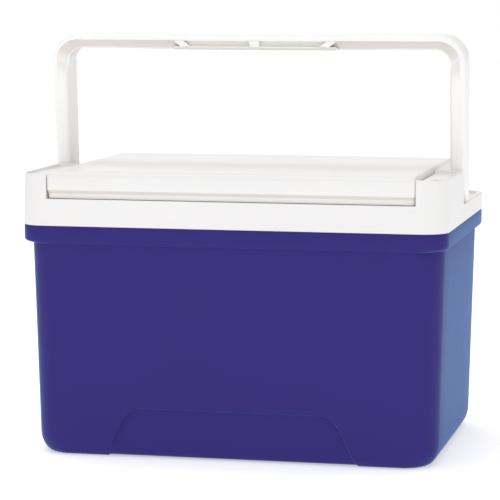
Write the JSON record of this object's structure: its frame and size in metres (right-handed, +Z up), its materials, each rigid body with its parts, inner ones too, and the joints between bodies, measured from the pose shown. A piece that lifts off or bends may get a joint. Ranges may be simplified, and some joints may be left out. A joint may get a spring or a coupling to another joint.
{
  "type": "cooler chest",
  "caption": "Small hard-sided cooler: tapered insulated tub with a moulded collar, a lid hinged at the back and a bail handle that folds back onto the collar.",
  "frame": {"origin": "under the middle of the chest, on the surface that it stands on", "axes": "+X along the length to the right, +Y from the front to the back, +Z up"},
  "size_m": [0.351, 0.24, 0.3444],
  "materials": {
    "shell_blue": "fine satin moulding texture",
    "moulded_white": "satin moulded plastic",
    "handle_white": "satin moulded plastic",
    "liner_white": "smooth semi-gloss",
    "foam_cream": "open rigid foam",
    "pin_grey": "smooth acetal"
  },
  "bodies": {
    "chest": {"outer_shell": "shell_blue", "insulation_foam": "foam_cream", "liner": "liner_white", "collar": "moulded_white", "pivot_pin_left": "pin_grey", "pivot_pin_right": "pin_grey", "hinge_pin_left": "pin_grey", "hinge_pin_right": "pin_grey"},
    "lid": {"lid_top": "moulded_white", "lid_pan": "liner_white"},
    "bail": {"handle": "handle_white"}
  },
  "joints": [
    {"name": "handle_fold", "type": "hinge", "parent": "chest", "child": "bail", "pos_m": [0, 0.0016, 0.219], "axis": [-1, 0, 0], "range_deg": [0, 93]},
    {"name": "lid_hinge", "type": "hinge", "parent": "chest", "child": "lid", "pos_m": [0, 0.102, 0.2285], "axis": [-1, 0, 0], "range_deg": [0, 34]}
  ]
}
